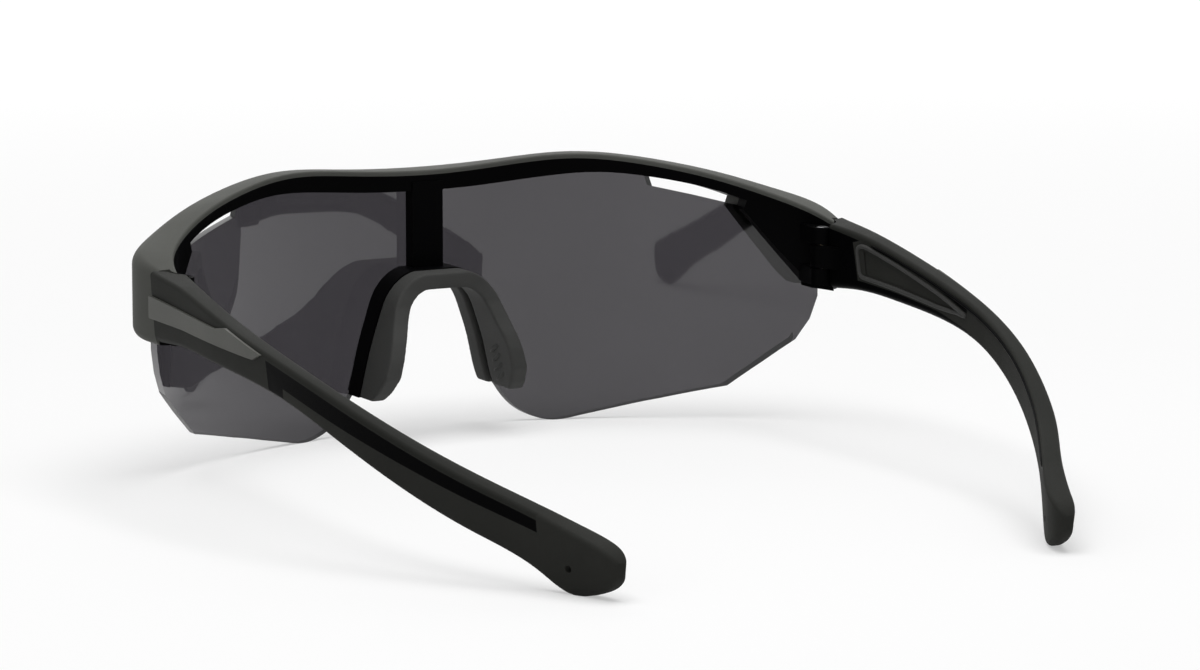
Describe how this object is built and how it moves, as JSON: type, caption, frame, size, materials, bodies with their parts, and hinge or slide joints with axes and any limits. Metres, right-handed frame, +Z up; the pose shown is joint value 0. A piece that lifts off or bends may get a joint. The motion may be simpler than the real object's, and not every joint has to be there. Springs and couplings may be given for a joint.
{
  "type": "wraparound sport sunglasses",
  "caption": "Half-rim wraparound sport sunglasses: one curved shield lens under a brow frame, soft nose pad, folding two-material temples with rubber grips.",
  "frame": {"origin": "middle of the bounding box's bottom: on the surface that the glasses stand on, half way between the brow's front and the temple tips", "axes": "+X to the wearer's left, +Y to the rear along the temples, +Z up"},
  "size_m": [0.1432, 0.1622, 0.0508],
  "materials": {
    "graphite_shell": "fine matte graphite",
    "black_moulding": "satin black",
    "smoke_lens": "polished smoke-grey polycarbonate",
    "soft_rubber": "matte charcoal rubber",
    "accent_rib": "satin graphite",
    "screw_steel": "plain steel",
    "bush_brass": "turned brass"
  },
  "bodies": {
    "front": {"brow_frame": "graphite_shell", "lens_carrier": "black_moulding", "shield_lens": "smoke_lens", "nose_bracket": "black_moulding", "nose_pad": "soft_rubber", "hinge_screw_left": "screw_steel", "hinge_screw_right": "screw_steel", "hinge_nut_left": "screw_steel", "hinge_nut_right": "screw_steel"},
    "left_temple": {"temple_shell_left": "graphite_shell", "temple_core_left": "black_moulding", "temple_grip_left": "soft_rubber", "temple_accent_left": "accent_rib", "hinge_bush_left": "bush_brass"},
    "right_temple": {"temple_shell_right": "graphite_shell", "temple_core_right": "black_moulding", "temple_grip_right": "soft_rubber", "temple_accent_right": "accent_rib", "hinge_bush_right": "bush_brass"}
  },
  "joints": [
    {"name": "left_fold", "type": "hinge", "parent": "front", "child": "left_temple", "pos_m": [0.0652, -0.041, 0.033], "axis": [0, 0, 1], "range_deg": [0, 84]},
    {"name": "right_fold", "type": "hinge", "parent": "front", "child": "right_temple", "pos_m": [-0.0652, -0.041, 0.033], "axis": [0, 0, -1], "range_deg": [0, 76]}
  ]
}
